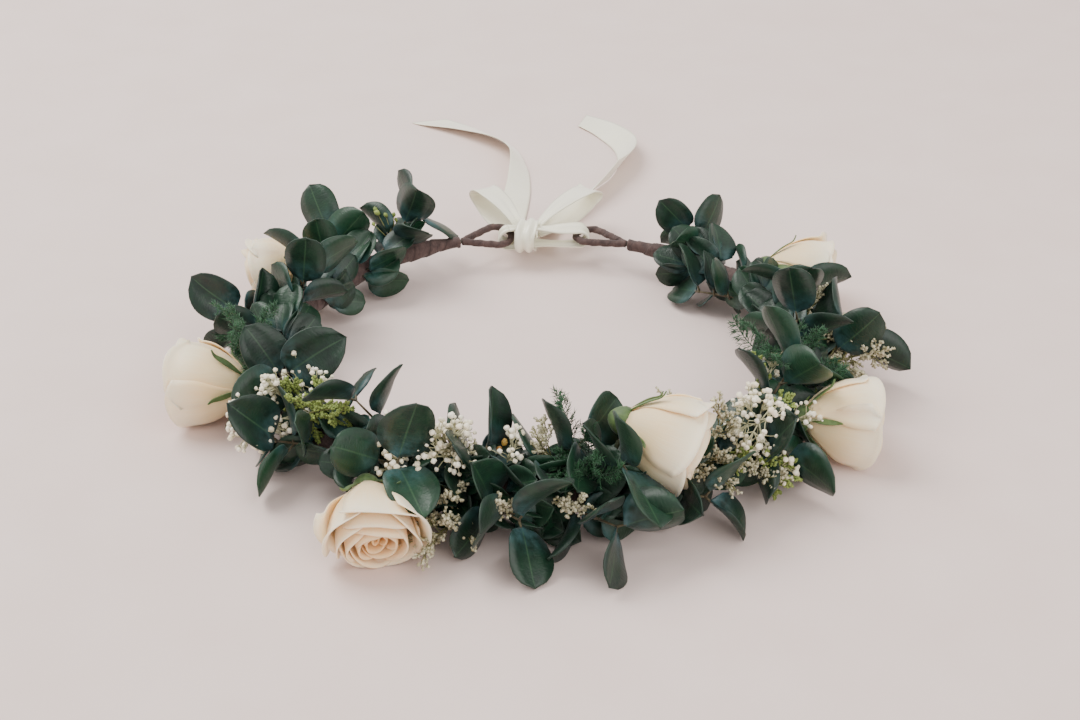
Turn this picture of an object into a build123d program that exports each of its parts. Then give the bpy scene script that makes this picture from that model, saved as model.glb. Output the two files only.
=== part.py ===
from build123d import *
import itertools
import math
import os

import numpy as np

# Flower crown, lying on a table. Millimetres, +Z up. The origin is the centre of the hoop on the
# table, +Y points to the tied gap at the back of the head, +X to the right seen from the front.

# --- Driving dimensions -----------------------------------------------------------------------

hoop_radius = 95.0  # centre line of the wire hoop
hoop_height = 12.0  # centre line of the hoop above the table
wire_dia = 1.6
eyelet_radius = 6.0  # round end of each wire eyelet, to the wire's centre
eyelet_apart = 38.6  # between the centres of the two round ends
eyelet_mid_x = 3.0
eyelet_out = 0.3  # the eyelets stand this much outside the hoop's centre line
eyelet_tilt = 12.0  # the left eyelet's turn about its own length
root_right = 67.0  # where each eyelet starts on the hoop, degrees round from +X
root_left = 109.0

tape_bunch = 4.4  # outer radius of the taped stems among the flowers
tape_arm = 3.3  # on the two bare arms at the back
tape_end = 2.2  # near the eyelets
tape_eyelet = 1.35  # the eyelet wire with its tape
arm_span = 30.0  # degrees of each bare arm, with its end
end_span = 9.0  # degrees of its thin end
bare_left = root_left + arm_span
bare_right = root_right - arm_span

stem_dia = 1.5  # sprig stems
rose_wire_dia = 1.6  # florist's wire through each rose
stem_depth = wire_dia / 2 + stem_dia / 2 + 0.4  # from the hoop wire to a stem in the bundle

rose_radius = 14.0
rose_length = 27.0
rose_base = 4.6  # radius where the petals meet the calyx
rose_rim = 11.0  # radius of the open end
petal_thick = 0.6
petal_gap = 0.4
petals_per_ring = 3
petal_spread = 104.0  # degrees of the ring that one petal covers
calyx_length = 4.0
calyx_foot = 1.7
sepal_count = 5
sepal_spread = 22.0
sepal_length = 8.0
wire_into_calyx = 2.0

leaf_thick = 0.5
leaf_slim = 0.76  # width over length
petiole_length = 2.4
petiole_width = 0.9
pair_spacing = 10.0
leaf_spread = 58.0  # degrees between a leaf and its stem
twig_dia = 0.8
bead_dia = 3.0  # gypsophila blossom
spike_dia = 3.2  # statice and seed spikes
spike_taper = 8.0  # degrees
plume_slim = 0.3
plume_thick = 0.6

ribbon_width = 12.0
ribbon_thick = 0.5
lashing_width = 6.0
knot_length = 8.0
knot_wall = 2.3
knot_x = -4.0
loop_gap = 0.4  # between the two bow loops, and from a tail to the knot
tail_ramp = 19.0  # how far back a tail reaches down to the table
tail_gathered = 6.0

room_gap = 0.3  # least gap between a piece and what was placed before it
head_room = 78.0  # nothing reaches further in than this radius
bow_room = 36.0  # and nothing but the bow comes this near to the gap's middle
table_gap = 0.05

ball_step = 1.2  # spacing of the balls that stand for a piece while room is looked for
ball_radius = 0.72
head_radius = 1.6  # of the ball round a bead or a spike


# --- Places round the hoop --------------------------------------------------------------------

UP = Vector(0, 0, 1)


def out_at(angle):
    turn = math.radians(angle)
    return Vector(math.cos(turn), math.sin(turn), 0)


def along_at(angle):
    return out_at(angle + 90)


def beside(angle, out=0.0, up=0.0):
    """A point beside the hoop wire: so far outward from it and so far above it."""
    return out_at(angle) * (hoop_radius + out) + UP * (hoop_height + up)


def heading(yaw, pitch):
    return out_at(yaw) * math.cos(math.radians(pitch)) + UP * math.sin(math.radians(pitch))


def across(direction):
    """A level direction at right angles to the one given."""
    level = UP.cross(direction)
    return level.normalized() if level.length > 0.05 else Vector(1, 0, 0)


# --- Keeping pieces clear of each other -------------------------------------------------------


class Bench:
    """Balls that stand for what is placed so far, so that the next piece finds free room."""

    def __init__(self):
        self.centres = np.empty((0, 3))
        self.radii = np.empty(0)

    def put(self, centres, radius):
        self.centres = np.vstack([self.centres, centres])
        self.radii = np.append(self.radii, np.full(len(centres), radius))

    def clear(self, centres, radius):
        flat = np.hypot(centres[:, 0], centres[:, 1])
        near_bow = (np.abs(centres[:, 0] - eyelet_mid_x) < bow_room) & (centres[:, 1] > 0)
        low = centres[:, 2].min() - radius < table_gap
        if low or flat.min() < head_room + radius or near_bow.any():
            return False
        middle = centres.mean(axis=0)
        reach = np.linalg.norm(centres - middle, axis=1).max() + radius + room_gap
        close = np.linalg.norm(self.centres - middle, axis=1) < reach + self.radii
        if not close.any():
            return True
        span = np.linalg.norm(centres[:, None] - self.centres[close][None], axis=2)
        return bool((span - self.radii[close] > radius + room_gap).all())


bench = Bench()
foot_bench = Bench()  # what the feet of stems and leaves keep clear of
stem_bench = Bench()  # the stems alone, down to the tape


def steps(step, count):
    """0, then one step each way, then two steps each way, and so on."""
    return sorted((k * step for k in range(-count, count + 1)), key=abs)


def tries(*ranges):
    """Every mix of the changes given, the smallest changes first."""
    return sorted(itertools.product(*ranges), key=lambda mix: sum(abs(part) for part in mix))


def line_balls(points, skip=0.0):
    """Ball centres along a path, leaving out its first stretch."""
    found = []
    walked = 0.0
    for start, end in zip(points, points[1:]):
        length = (end - start).length
        shares = np.linspace(0, 1, max(2, math.ceil(length / ball_step)) + 1)
        shares = shares[walked + length * shares >= skip]
        found.append(np.array(tuple(start)) + np.outer(shares, tuple(end - start)))
        walked += length
    return np.vstack(found)


def plate_grid(length, width):
    """Points over an oval of this size: how far along it each is, and how far aside."""
    found = []
    rows = max(2, math.ceil(length / ball_step))
    for along in np.linspace(0, length, rows + 1):
        half = width / 2 * math.sqrt(max(0.0, 1 - (2 * along / length - 1) ** 2))
        found += [(along, side) for side in np.linspace(-half, half, math.ceil(2 * half / ball_step) + 1)]
    return np.array(found)


def head_balls(base, axis):
    """Ball centres over the outside of a rose head and its calyx."""
    side = across(axis)
    other = axis.cross(side)
    outline = [(rose_base * 0.7, -calyx_length), (rose_base + 1.5, 0), (rose_radius * 0.8, 5)]
    outline += [(rose_radius, 10), (rose_radius, 15), (rose_radius * 0.95, 20)]
    outline += [(rose_rim + 0.5, rose_length - 2), (rose_rim * 0.6, rose_length)]
    outline += [(rose_rim * 0.2, rose_length)]
    found = []
    for radius, along in outline:
        count = max(6, math.ceil(2 * math.pi * radius / 3.0))
        for k in range(count):
            turn = 2 * math.pi * k / count
            ray = side * math.cos(turn) + other * math.sin(turn)
            found.append(tuple(base + axis * along + ray * (radius - 1.5)))
    return np.array(found)


# --- Hoop wire and its eyelets ----------------------------------------------------------------

eyelet_y = hoop_radius + eyelet_out
eyelets = {
    "left": (Vector(eyelet_mid_x - eyelet_apart / 2, eyelet_y, hoop_height), root_left, eyelet_tilt),
    "right": (Vector(eyelet_mid_x + eyelet_apart / 2, eyelet_y, hoop_height), root_right, 0.0),
}


def hoop_arc(start, span, radius):
    """A round bar bent to the hoop, from one angle on over so many degrees."""
    with BuildPart() as bar:
        with BuildSketch(Plane(beside(start), x_dir=out_at(start), z_dir=along_at(start))):
            Circle(radius)
        revolve(axis=Axis.Z, revolution_arc=span)
    return bar.part


def make_eyelet(side):
    """A teardrop of taped wire: two straight legs from the hoop's end and a round far end."""
    centre, root_angle, tilt = eyelets[side]
    root = beside(root_angle)
    flat = Plane(origin=root, x_dir=centre - root, z_dir=UP).rotated((tilt, 0, 0))
    length = (centre - root).length
    lean = math.asin(eyelet_radius / length)
    leg = length * math.cos(lean)
    touch = flat.from_local_coords(Vector(leg * math.cos(lean), leg * math.sin(lean), 0))
    with BuildPart() as loop:
        for half in (1, -1):
            end = flat.from_local_coords(Vector(leg * math.cos(lean), half * leg * math.sin(lean), 0))
            with BuildSketch(Plane(root, z_dir=end - root)):
                Circle(tape_eyelet)
            extrude(amount=leg)
        with BuildSketch(Plane(touch, z_dir=touch - root)):
            Circle(tape_eyelet)
        revolve(axis=Axis(centre, flat.z_dir * -1), revolution_arc=180 + 2 * math.degrees(lean))
        end_start = root_left if side == "left" else root_right - end_span
        add(hoop_arc(end_start, end_span, tape_end), mode=Mode.SUBTRACT)
    return loop.part


whole_span = 360 - (root_left - root_right)
hoop_wire = hoop_arc(root_left, whole_span, wire_dia / 2)
hoop_wire.label = "hoop_wire"

bench.put(line_balls([beside(a) for a in range(int(bare_left), int(bare_right) + 361)]), tape_bunch + 0.2)
bench.put(line_balls([beside(a) for a in range(int(root_left), int(bare_left))]), tape_arm + 0.2)
bench.put(line_balls([beside(a) for a in range(int(bare_right), int(root_right))]), tape_arm + 0.2)


# --- Stems ------------------------------------------------------------------------------------

# The ends of the stems lie in the wrapped bundle, so each stem is cut flush where it comes out.
stem_reach = 40.0  # degrees of the bundle, each way from its root, that a stem could cross


def stem_points(at, tip):
    """From inside the wrapped bundle straight to the tip."""
    aim = tip - beside(at)
    side = (aim - along_at(at) * aim.dot(along_at(at))).normalized() * stem_depth
    return [beside(at) + side, tip]


def stem_solid(points, diameter):
    start, tip = points
    turn = math.degrees(math.atan2(start.Y, start.X)) % 360
    radius = tape_arm if bare_right < turn < bare_left else tape_bunch
    with BuildPart() as stem:
        with BuildSketch(Plane(start, z_dir=tip - start)):
            Circle(diameter / 2)
        extrude(amount=(tip - start).length)
        add(hoop_arc(turn - stem_reach, 2 * stem_reach, radius), mode=Mode.SUBTRACT)
    return stem.part


# --- Roses ------------------------------------------------------------------------------------

# Each rose: where its wire leaves the tape, where its foot sits (degrees round the hoop, roll
# about the wire from outward to up, distance from the wire) and where its opening points.
roses = [
    ("rose_back_left", 143, 149, 15, 9.5, 165, 8),
    ("rose_left", 188, 194, 8, 12.5, 200, 2),
    ("rose_front_left", 238, 243, 0, 18.0, 262, 4),
    ("rose_front_right", 283, 288, 92, 17.5, 6, 8),
    ("rose_right", 327, 332, 6, 10.5, 340, 2),
    ("rose_back_right", 35, 29, 10, 9.5, 25, 6),
]


def seat_rose(foot, roll, reach, axis):
    """Moves a rose outward along its roll until its head is clear of the tape and the table."""
    side = out_at(foot) * math.cos(math.radians(roll)) + UP * math.sin(math.radians(roll))
    balls = head_balls(beside(foot), axis)
    for more, lift in tries([0.5 * k for k in range(40)], [0.5 * k for k in range(30)]):
        shift = side * (reach + more) + UP * lift
        if bench.clear(balls + tuple(shift), 1.6):
            return beside(foot) + shift
    raise ValueError("no room for a rose")


def petal_line(shift, top):
    """The outline of the head, so far out from the outermost petals, up to this height."""
    outline = [(rose_base, 0), (rose_radius * 0.8, 5), (rose_radius, 10.5), (rose_radius, 16), (rose_rim, top)]
    return [(radius + shift, along) for radius, along in outline]


def petal_face(plane, inner, outer, top):
    """The section of a petal, in a half plane through the rose's axis."""
    with BuildSketch(plane) as face:
        with BuildLine():
            Polyline(*petal_line(inner, top), *reversed(petal_line(outer, top)), close=True)
        make_face()
    return face.sketch


def rose_plane(base, axis, turn):
    side = across(axis)
    ray = side * math.cos(math.radians(turn)) + axis.cross(side) * math.sin(math.radians(turn))
    return Plane(base, x_dir=ray, z_dir=ray.cross(axis))


def make_petals(base, axis):
    """A closed bud and two rings of outer petals round it, the rings turned half a petal."""
    ring_step = petal_thick + petal_gap
    bud_edge = petal_line(-2 * ring_step - petal_gap, rose_length - 3)
    with BuildPart() as bud:
        with BuildSketch(rose_plane(base, axis, 0)):
            with BuildLine():
                Polyline((0, 0), *bud_edge, (0, rose_length - 1), close=True)
            make_face()
        revolve(axis=Axis(base, axis))
    solids = [bud.part]
    for ring in range(2):
        outer = -ring_step * ring
        for k in range(petals_per_ring):
            turn = 360 / petals_per_ring * (k + ring / 2)
            with BuildPart() as petal:
                add(petal_face(rose_plane(base, axis, turn), outer - petal_thick, outer, rose_length - 2 + ring))
                revolve(axis=Axis(base, axis), revolution_arc=petal_spread)
            solids.append(petal.part)
    return Compound(children=[Compound(piece.solids()) for piece in solids])


def make_calyx(base, axis, wire):
    """The green cup under the petals with its sepals, and the hole that the wire goes into."""
    lip = petal_gap
    with BuildPart() as calyx:
        for k in range(sepal_count):
            turn = 360 / sepal_count * k
            add(petal_face(rose_plane(base, axis, turn), lip, lip + petal_thick, rose_length))
            revolve(axis=Axis(base, axis), revolution_arc=sepal_spread)
        split(bisect_by=Plane(base + axis * sepal_length, z_dir=axis), keep=Keep.BOTTOM)
        with BuildSketch(rose_plane(base, axis, 0)):
            with BuildLine():
                Polyline(
                    (0, -calyx_length),
                    (calyx_foot, -calyx_length),
                    (rose_base + lip + petal_thick, -0.2),
                    (rose_base + lip + petal_thick, 0),
                    (0, 0),
                    (0, -calyx_length),
                )
            make_face()
        revolve(axis=Axis(base, axis))
        add(wire, mode=Mode.SUBTRACT)
    return calyx.part


rose_parts = []
rose_wires = []
for name, root, foot, roll, reach, yaw, pitch in roses:
    axis = heading(yaw, pitch)
    base = seat_rose(foot, roll, reach, axis)
    bench.put(head_balls(base, axis), 1.6)
    foot_bench.put(head_balls(base, axis), 1.6)
    points = stem_points(root, base - axis * wire_into_calyx)
    wire = stem_solid(points, rose_wire_dia)
    rose_wires.append(points)
    wire.label = name + "_wire"
    petals = make_petals(base, axis)
    petals.label = name + "_petals"
    calyx = make_calyx(base, axis, wire)
    calyx.label = name + "_calyx"
    rose_parts += [petals, calyx, wire]
for points in rose_wires:
    bench.put(line_balls(points), rose_wire_dia / 2 + 0.1)
    stem_bench.put(line_balls(points), rose_wire_dia / 2)


# --- Eucalyptus sprigs ------------------------------------------------------------------------

# Each sprig: where it leaves the tape, its tip (degrees round the hoop, out
# and up from the wire), the length of its leaves, how many pairs, and the first pair's turn.
eucalyptus = [
    ("eucalyptus_rose_top", 232, 246, 14, 13, 18, 2, 80),
    ("eucalyptus_front_right_top", 276, 286, 9, 14, 18, 2, 10),
    ("eucalyptus_right_top", 320, 334, 4, 18, 18, 3, 60),
    ("eucalyptus_left_top", 196, 207, 3, 15, 18, 2, 30),
    ("eucalyptus_front_left_inner", 250, 230, 0, 13, 16, 3, 20),
    ("eucalyptus_front_left_low", 228, 216, 16, 3, 17, 3, 60),
    ("eucalyptus_front_mid_inner", 244, 260, -3, 13, 16, 3, 45),
    ("eucalyptus_front_mid_low", 256, 269, 17, 2, 18, 3, 75),
    ("eucalyptus_front_inner", 264, 281, -5, 14, 16, 3, 0),
    ("eucalyptus_front_low", 270, 283, 22, 0, 17, 3, 30),
    ("eucalyptus_front_right_low", 291, 300, 17, 0, 16, 2, 70),
    ("eucalyptus_right_low", 308, 320, 17, 3, 17, 3, 20),
    ("eucalyptus_right_inner", 338, 354, 0, 13, 16, 3, 75),
    ("eucalyptus_right_back", 344, 2, 18, 7, 17, 3, 40),
    ("eucalyptus_back_right_rose", 2, 14, 5, 13, 16, 2, 10),
    ("eucalyptus_back_right_arm", 40, 57, 8, 6, 14, 3, 35),
    ("eucalyptus_back_right_inner", 22, 44, -5, -2, 14, 3, 60),
    ("eucalyptus_left_low", 182, 170, 18, 5, 16, 3, 40),
    ("eucalyptus_left_inner", 176, 158, -3, 10, 16, 3, 15),
    ("eucalyptus_back_left_rose", 152, 136, 16, 10, 16, 3, 50),
    ("eucalyptus_back_left_arm", 134, 119, 7, 13, 16, 3, 25),
]


def seat_stem(root, angle, out, up):
    """Moves a sprig's tip and root by small amounts until its stem passes clear of everything."""
    for turn, more, lift, slip in tries(steps(1.5, 6), steps(1.5, 6), steps(1.5, 6), steps(1.6, 3)):
        points = stem_points(root + slip, beside(angle + turn, out + more, up + lift))
        foot = line_balls(points, tape_bunch / 2)
        free = line_balls(points, tape_bunch + 2.0)
        foot_clear = foot_bench.clear(foot, stem_dia / 2) and stem_bench.clear(foot, stem_dia / 2)
        if foot_clear and bench.clear(free, stem_dia / 2 + 0.1):
            stem_bench.put(foot, stem_dia / 2)
            return points
    raise ValueError("no room for a stem")


def side_ways(stem_way, turn, spread, roll):
    """The way out along a leaf, and its face: turned about the stem, spread from it, rolled."""
    ray = across(stem_way)
    ray = ray * math.cos(math.radians(turn)) + stem_way.cross(ray) * math.sin(math.radians(turn))
    lean = math.radians(spread)
    out = (stem_way * math.cos(lean) + ray * math.sin(lean)).normalized()
    face = ray * math.cos(lean) - stem_way * math.sin(lean)
    face = face * math.cos(math.radians(roll)) + out.cross(face) * math.sin(math.radians(roll))
    return out, face * -1


def off_bundle(points):
    """Whether the points are all clear of the wrapped bundle by the width of a leaf's foot."""
    aside = np.hypot(points[:, 0], points[:, 1]) - hoop_radius
    return (np.hypot(aside, points[:, 2] - hoop_height) > tape_bunch + petiole_width + room_gap).all()


def seat_plate(at, stem_way, turn, spread, length, width, shift, heads=()):
    """Turns a leaf or twig about its stem in small steps until it is clear of the rest. The heads
    are how far along it any thicker places are."""
    grid = plate_grid(length, width)
    shares = np.linspace(0, shift, 5)
    slants = [30 * k for k in (0, 1, -1, 2, -2, 3)]
    for more, wider, roll in tries(steps(12, 15), steps(14, 3), slants):
        out, face = side_ways(stem_way, turn + more, spread + wider, roll)
        start = np.array(tuple(at + out * shift))
        balls = start + np.outer(grid[:, 0], tuple(out)) + np.outer(grid[:, 1], tuple(face.cross(out)))
        foot = np.array(tuple(at)) + np.outer(shares, tuple(out))
        thick = np.array(tuple(at)) + np.outer(heads, tuple(out))
        foot_clear = off_bundle(foot) and foot_bench.clear(foot, petiole_width)
        if not (foot_clear and bench.clear(balls, ball_radius)):
            continue
        if len(heads) == 0 or bench.clear(thick, head_radius):
            return Plane(at, x_dir=out, z_dir=face), np.vstack([balls, thick])
    raise ValueError(f"no room for a leaf at {at} along {stem_way}")


def make_leaf(plane, length, width):
    with BuildPart() as leaf:
        with BuildSketch(plane):
            with Locations((stem_dia / 2 + petiole_length + length / 2, 0)):
                Ellipse(length / 2, width / 2)
            with Locations((stem_dia / 2 + petiole_length / 2, 0)):
                Rectangle(petiole_length + 1.6, petiole_width)
        extrude(amount=leaf_thick / 2, both=True)
    return leaf.part


sprig_parts = []
sprig_stems = {}
leaf_balls = []
for name, root, angle, out, up, size, pairs, turn in eucalyptus:
    points = seat_stem(root, angle, out, up)
    sprig_stems[name] = points
    bench.put(line_balls(points, tape_bunch), stem_dia / 2 + 0.1)

for name, root, angle, out, up, size, pairs, turn in eucalyptus:
    points = sprig_stems[name]
    stem_way = (points[1] - points[0]).normalized()
    stem = stem_solid(points, stem_dia)
    leaves = []
    free = (points[1] - points[0]).length - 1.6 * tape_bunch
    spacing = min(pair_spacing, free / pairs)
    for k in range(pairs):
        at = points[1] - stem_way * (0.5 + spacing * k)
        spread = leaf_spread + 10 * k
        length = size * (1.0 - 0.06 * k)
        for half in (0, 180):
            blade_at = stem_dia / 2 + petiole_length
            plane, balls = seat_plate(
                at, stem_way, turn + 90 * k + half, spread, length, length * leaf_slim, blade_at
            )
            bench.put(balls, ball_radius)
            leaf_balls += [line_balls([at + plane.x_dir * stem_dia / 4, at + plane.x_dir * blade_at]), balls]
            leaves.append(make_leaf(plane, length, length * leaf_slim))
    sprig = Compound(children=[Compound(stem.solids())] + [Compound(leaf.solids()) for leaf in leaves])
    sprig.label = name
    sprig_parts.append(sprig)
for place in (bench, foot_bench):
    place.put(np.vstack(leaf_balls), petiole_width / 2)


# --- Filler sprays ----------------------------------------------------------------------------

# Each spray: what its twigs carry, where it leaves the tape, its tip, how
# many twigs it has and how long they are.
sprays = [
    ("gypsophila_left", "bead", 203, 216, 22, 12, 7, 9),
    ("gypsophila_front", "bead", 248, 257, 6, 20, 7, 9),
    ("gypsophila_right", "bead", 322, 312, 10, 18, 8, 10),
    ("fern_left", "plume", 181, 193, 13, 21, 4, 13),
    ("fern_front", "plume", 287, 275, -8, 16, 4, 14),
    ("fern_right", "plume", 349, 334, -7, 20, 5, 16),
    ("statice_front", "spike", 262, 254, 24, 2, 5, 9),
    ("statice_front_right", "spike", 296, 305, 12, 8, 5, 9),
    ("statice_right", "spike", 350, 3, 26, 12, 5, 9),
    ("seeds_left", "spike", 210, 226, 6, 14, 5, 8),
    ("seeds_right", "spike", 318, 311, 20, 4, 6, 8),
]


def twig_end(kind, plane, length):
    """One twig from the stem: a bead on its end, a fat spike, or a flat plume."""
    with BuildPart() as twig:
        with BuildSketch(plane):
            if kind == "plume":
                with Locations((length / 2, 0)):
                    Ellipse(length / 2, length * plume_slim / 2)
            else:
                thin = twig_dia / 2
                with BuildLine():
                    if kind == "bead":
                        thick = bead_dia / 2
                        meet = length - math.sqrt(thick**2 - thin**2)
                        Polyline((length + thick, 0), (0, 0), (0, thin), (meet, thin))
                        ThreePointArc((meet, thin), (length, thick), (length + thick, 0))
                    else:
                        foot, end = length * 0.35, length * 1.1
                        point = spike_dia / 2 - (end - foot) * math.tan(math.radians(spike_taper))
                        outline = [(0, 0), (0, thin), (foot, thin), (foot, spike_dia / 2), (end, point), (end, 0)]
                        Polyline(*outline, close=True)
                make_face()
        if kind == "plume":
            extrude(amount=plume_thick / 2, both=True)
        else:
            revolve(axis=Axis(plane.origin, plane.x_dir))
    return twig.part


for name, kind, root, angle, out, up, twigs, reach in sprays:
    points = seat_stem(root, angle, out, up)
    sprig_stems[name] = points
    bench.put(line_balls(points, tape_bunch), stem_dia / 2 + 0.1)

for name, kind, root, angle, out, up, twigs, reach in sprays:
    points = sprig_stems[name]
    stem_way = (points[1] - points[0]).normalized()
    free = (points[1] - points[0]).length - tape_bunch - 3.0
    solids = [stem_solid(points, stem_dia)]
    for k in range(twigs):
        at = points[1] - stem_way * (0.4 + free * 0.8 * k / twigs)
        turn = 137.5 * k
        spread = 25 + 35 * min(1, k / 3)
        width = reach * plume_slim if kind == "plume" else 0.1
        heads = {"bead": [reach], "spike": [reach * share for share in (0.5, 0.7, 0.9)], "plume": []}[kind]
        plane, balls = seat_plate(at, stem_way, turn, spread, reach * 0.85, width, reach * 0.25, heads)
        thick = len(heads)
        bench.put(balls[: len(balls) - thick], ball_radius)
        bench.put(balls[len(balls) - thick :], head_radius)
        solids.append(twig_end(kind, plane, reach))
    spray = Compound(children=[Compound(piece.solids()) for piece in solids])
    spray.label = name
    sprig_parts.append(spray)


# --- Tape over the wire and the stem ends -----------------------------------------------------

with BuildPart() as stem_tape:
    add(hoop_arc(root_left, end_span, tape_end))
    add(hoop_arc(root_left + end_span, arm_span - end_span, tape_arm))
    add(hoop_arc(bare_left, whole_span - 2 * arm_span, tape_bunch))
    add(hoop_arc(bare_right, arm_span - end_span, tape_arm))
    add(hoop_arc(root_right - end_span, end_span, tape_end))
    add(hoop_wire, mode=Mode.SUBTRACT)
stem_tape.part.label = "stem_tape"

eyelet_parts = []
for side in eyelets:
    eyelet = make_eyelet(side)
    eyelet.label = "eyelet_" + side
    eyelet_parts.append(eyelet)


# --- Ribbon -----------------------------------------------------------------------------------

# The lashing is a flat ring of ribbon through both eyelets, and the knot closes round it.
lashing_half = tape_eyelet + eyelet_radius * math.sin(math.radians(eyelet_tilt)) + 0.7
lashing_span = eyelet_apart - 2 * eyelet_radius + 2.4
lashing_plane = Plane((eyelet_mid_x, eyelet_y, hoop_height), x_dir=(1, 0, 0), z_dir=(0, -1, 0))
with BuildPart() as lashing:
    with BuildSketch(lashing_plane):
        SlotCenterToCenter(lashing_span, 2 * (lashing_half + ribbon_thick))
        SlotCenterToCenter(lashing_span, 2 * lashing_half, mode=Mode.SUBTRACT)
    extrude(amount=lashing_width / 2, both=True)
lashing.part.label = "ribbon_lashing"

knot_bore = math.hypot(lashing_width / 2, lashing_half + ribbon_thick) + 0.4
knot_radius = knot_bore + knot_wall
knot_plane = Plane((knot_x - knot_length / 2, eyelet_y, hoop_height), z_dir=(1, 0, 0))
with BuildPart() as knot:
    with BuildSketch(knot_plane):
        Circle(knot_radius)
        Circle(knot_bore, mode=Mode.SUBTRACT)
    extrude(amount=knot_length)
    fillet(knot.edges().filter_by(GeomType.CIRCLE).sort_by(SortBy.RADIUS)[-2:], 0.9)
knot.part.label = "bow_knot"

with BuildPart(knot_plane.offset(-ribbon_width)) as knot_space:
    Cylinder(knot_radius, knot_length + 2 * ribbon_width, align=(Align.CENTER, Align.CENTER, Align.MIN))

# Each bow loop: heading, rise in degrees, length, and the radius of its round end.
bow_loops = {"left": (122, 9, 37, 5.0), "right": (52, 5, 46, 4.0)}
loop_start = 3.0
divide = Plane((knot_x, eyelet_y, hoop_height), z_dir=out_at((122 + 52) / 2 - 90))
loop_parts = []
for side, (yaw, rise, length, end) in bow_loops.items():
    way = heading(yaw, rise)
    start = Vector(knot_x, eyelet_y, hoop_height) + way * loop_start
    band_plane = Plane(start, x_dir=way, z_dir=across(way))
    with BuildPart() as loop:
        for edge in (0, -ribbon_thick):
            with BuildSketch(band_plane):
                with Locations((2.0, 0)):
                    Circle(1.6 + edge)
                with Locations((length - end - loop_start, 0)):
                    Circle(end + edge)
                make_hull()
            extrude(amount=ribbon_width / 2, both=True, mode=Mode.SUBTRACT if edge else Mode.ADD)
        add(knot_space.part, mode=Mode.SUBTRACT)
        keep_side = Keep.BOTTOM if side == "left" else Keep.TOP
        shift = -loop_gap / 2 if side == "left" else loop_gap / 2
        split(bisect_by=divide.offset(shift), keep=keep_side)
    loop.part.label = "bow_loop_" + side
    loop_parts.append(loop.part)

# Each tail: where it leaves the knot, its points on the table and the radii of its bends.
tail_from = eyelet_y + knot_radius + loop_gap
tail_high = hoop_height - knot_radius * 0.55
tail_foot = tail_from + tail_ramp
tails = {
    "left": (knot_x - 3.6, [(-11, 0), (-8, 72), (-56, 126)], [30]),
    "right": (knot_x + 3.2, [(4, 0), (43, 66), (41, 92), (20, 126)], [22, 22]),
}
tail_parts = []
for side, (x, route, bends) in tails.items():
    with BuildPart() as tail:
        with BuildLine() as path:
            FilletPolyline(*[(px, tail_foot + py, ribbon_thick / 2) for px, py in route], radius=bends)
        with BuildSketch(Plane(path.line @ 0, x_dir=(path.line % 0).cross(UP), z_dir=path.line % 0)):
            Rectangle(ribbon_width, ribbon_thick)
        sweep(path=path.line)
        with BuildSketch(Plane((x, 0, 0), x_dir=(0, 1, 0), z_dir=(1, 0, 0))):
            with BuildLine():
                Polyline(
                    (tail_from, tail_high),
                    (tail_foot, ribbon_thick),
                    (tail_foot + 3, ribbon_thick),
                    (tail_foot + 3, 0),
                    (tail_foot, 0),
                    (tail_from, tail_high - ribbon_thick),
                    close=True,
                )
            make_face()
        extrude(amount=tail_gathered / 2, both=True)
    tail.part.label = "ribbon_tail_" + side
    tail_parts.append(tail.part)


# --- Export -----------------------------------------------------------------------------------

pieces = [hoop_wire, stem_tape.part, lashing.part, knot.part]
pieces += eyelet_parts + loop_parts + tail_parts + rose_parts + sprig_parts
os.makedirs("parts", exist_ok=True)
for piece in pieces:
    export_step(piece, "parts/" + piece.label + ".step")
print(len(pieces), "pieces")
print("bow hinge at y", round(eyelet_y, 2), "z", round(hoop_height, 2))
print("tail hinge at y", round(tail_from, 2), "z", round(tail_high, 2))
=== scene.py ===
# %% [markdown]
# # A flower crown
# A wire hoop wrapped in floral tape carries six cream roses, eucalyptus, ferns and small dried
# sprays, and a satin ribbon ties its two ends together in a bow. The structure is already made:
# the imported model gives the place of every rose, stem, leaf and ribbon, and here each of them
# gets its real form and finish. Everything is in metres, lying on a table at z = 0.

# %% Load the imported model
import math

import bmesh
import bpy
import numpy as np
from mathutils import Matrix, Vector


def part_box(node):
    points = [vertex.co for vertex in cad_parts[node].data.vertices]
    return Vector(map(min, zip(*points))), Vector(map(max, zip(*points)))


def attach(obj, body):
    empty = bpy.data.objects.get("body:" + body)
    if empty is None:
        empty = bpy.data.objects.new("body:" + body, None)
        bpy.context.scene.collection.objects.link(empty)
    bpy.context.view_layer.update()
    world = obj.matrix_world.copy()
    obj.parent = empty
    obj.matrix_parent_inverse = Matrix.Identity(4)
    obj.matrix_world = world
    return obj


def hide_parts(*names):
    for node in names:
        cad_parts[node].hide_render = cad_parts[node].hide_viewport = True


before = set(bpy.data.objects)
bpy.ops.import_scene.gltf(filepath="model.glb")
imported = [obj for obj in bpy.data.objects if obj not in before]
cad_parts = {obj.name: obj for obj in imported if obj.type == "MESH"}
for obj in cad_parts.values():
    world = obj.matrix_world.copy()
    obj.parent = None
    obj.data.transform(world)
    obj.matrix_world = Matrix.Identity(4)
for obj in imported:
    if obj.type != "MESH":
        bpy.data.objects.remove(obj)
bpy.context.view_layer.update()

bpy.ops.object.select_all(action="DESELECT")
mm = 0.001
UP = np.array([0.0, 0.0, 1.0])
print("packed nodes:", len(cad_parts))
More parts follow.
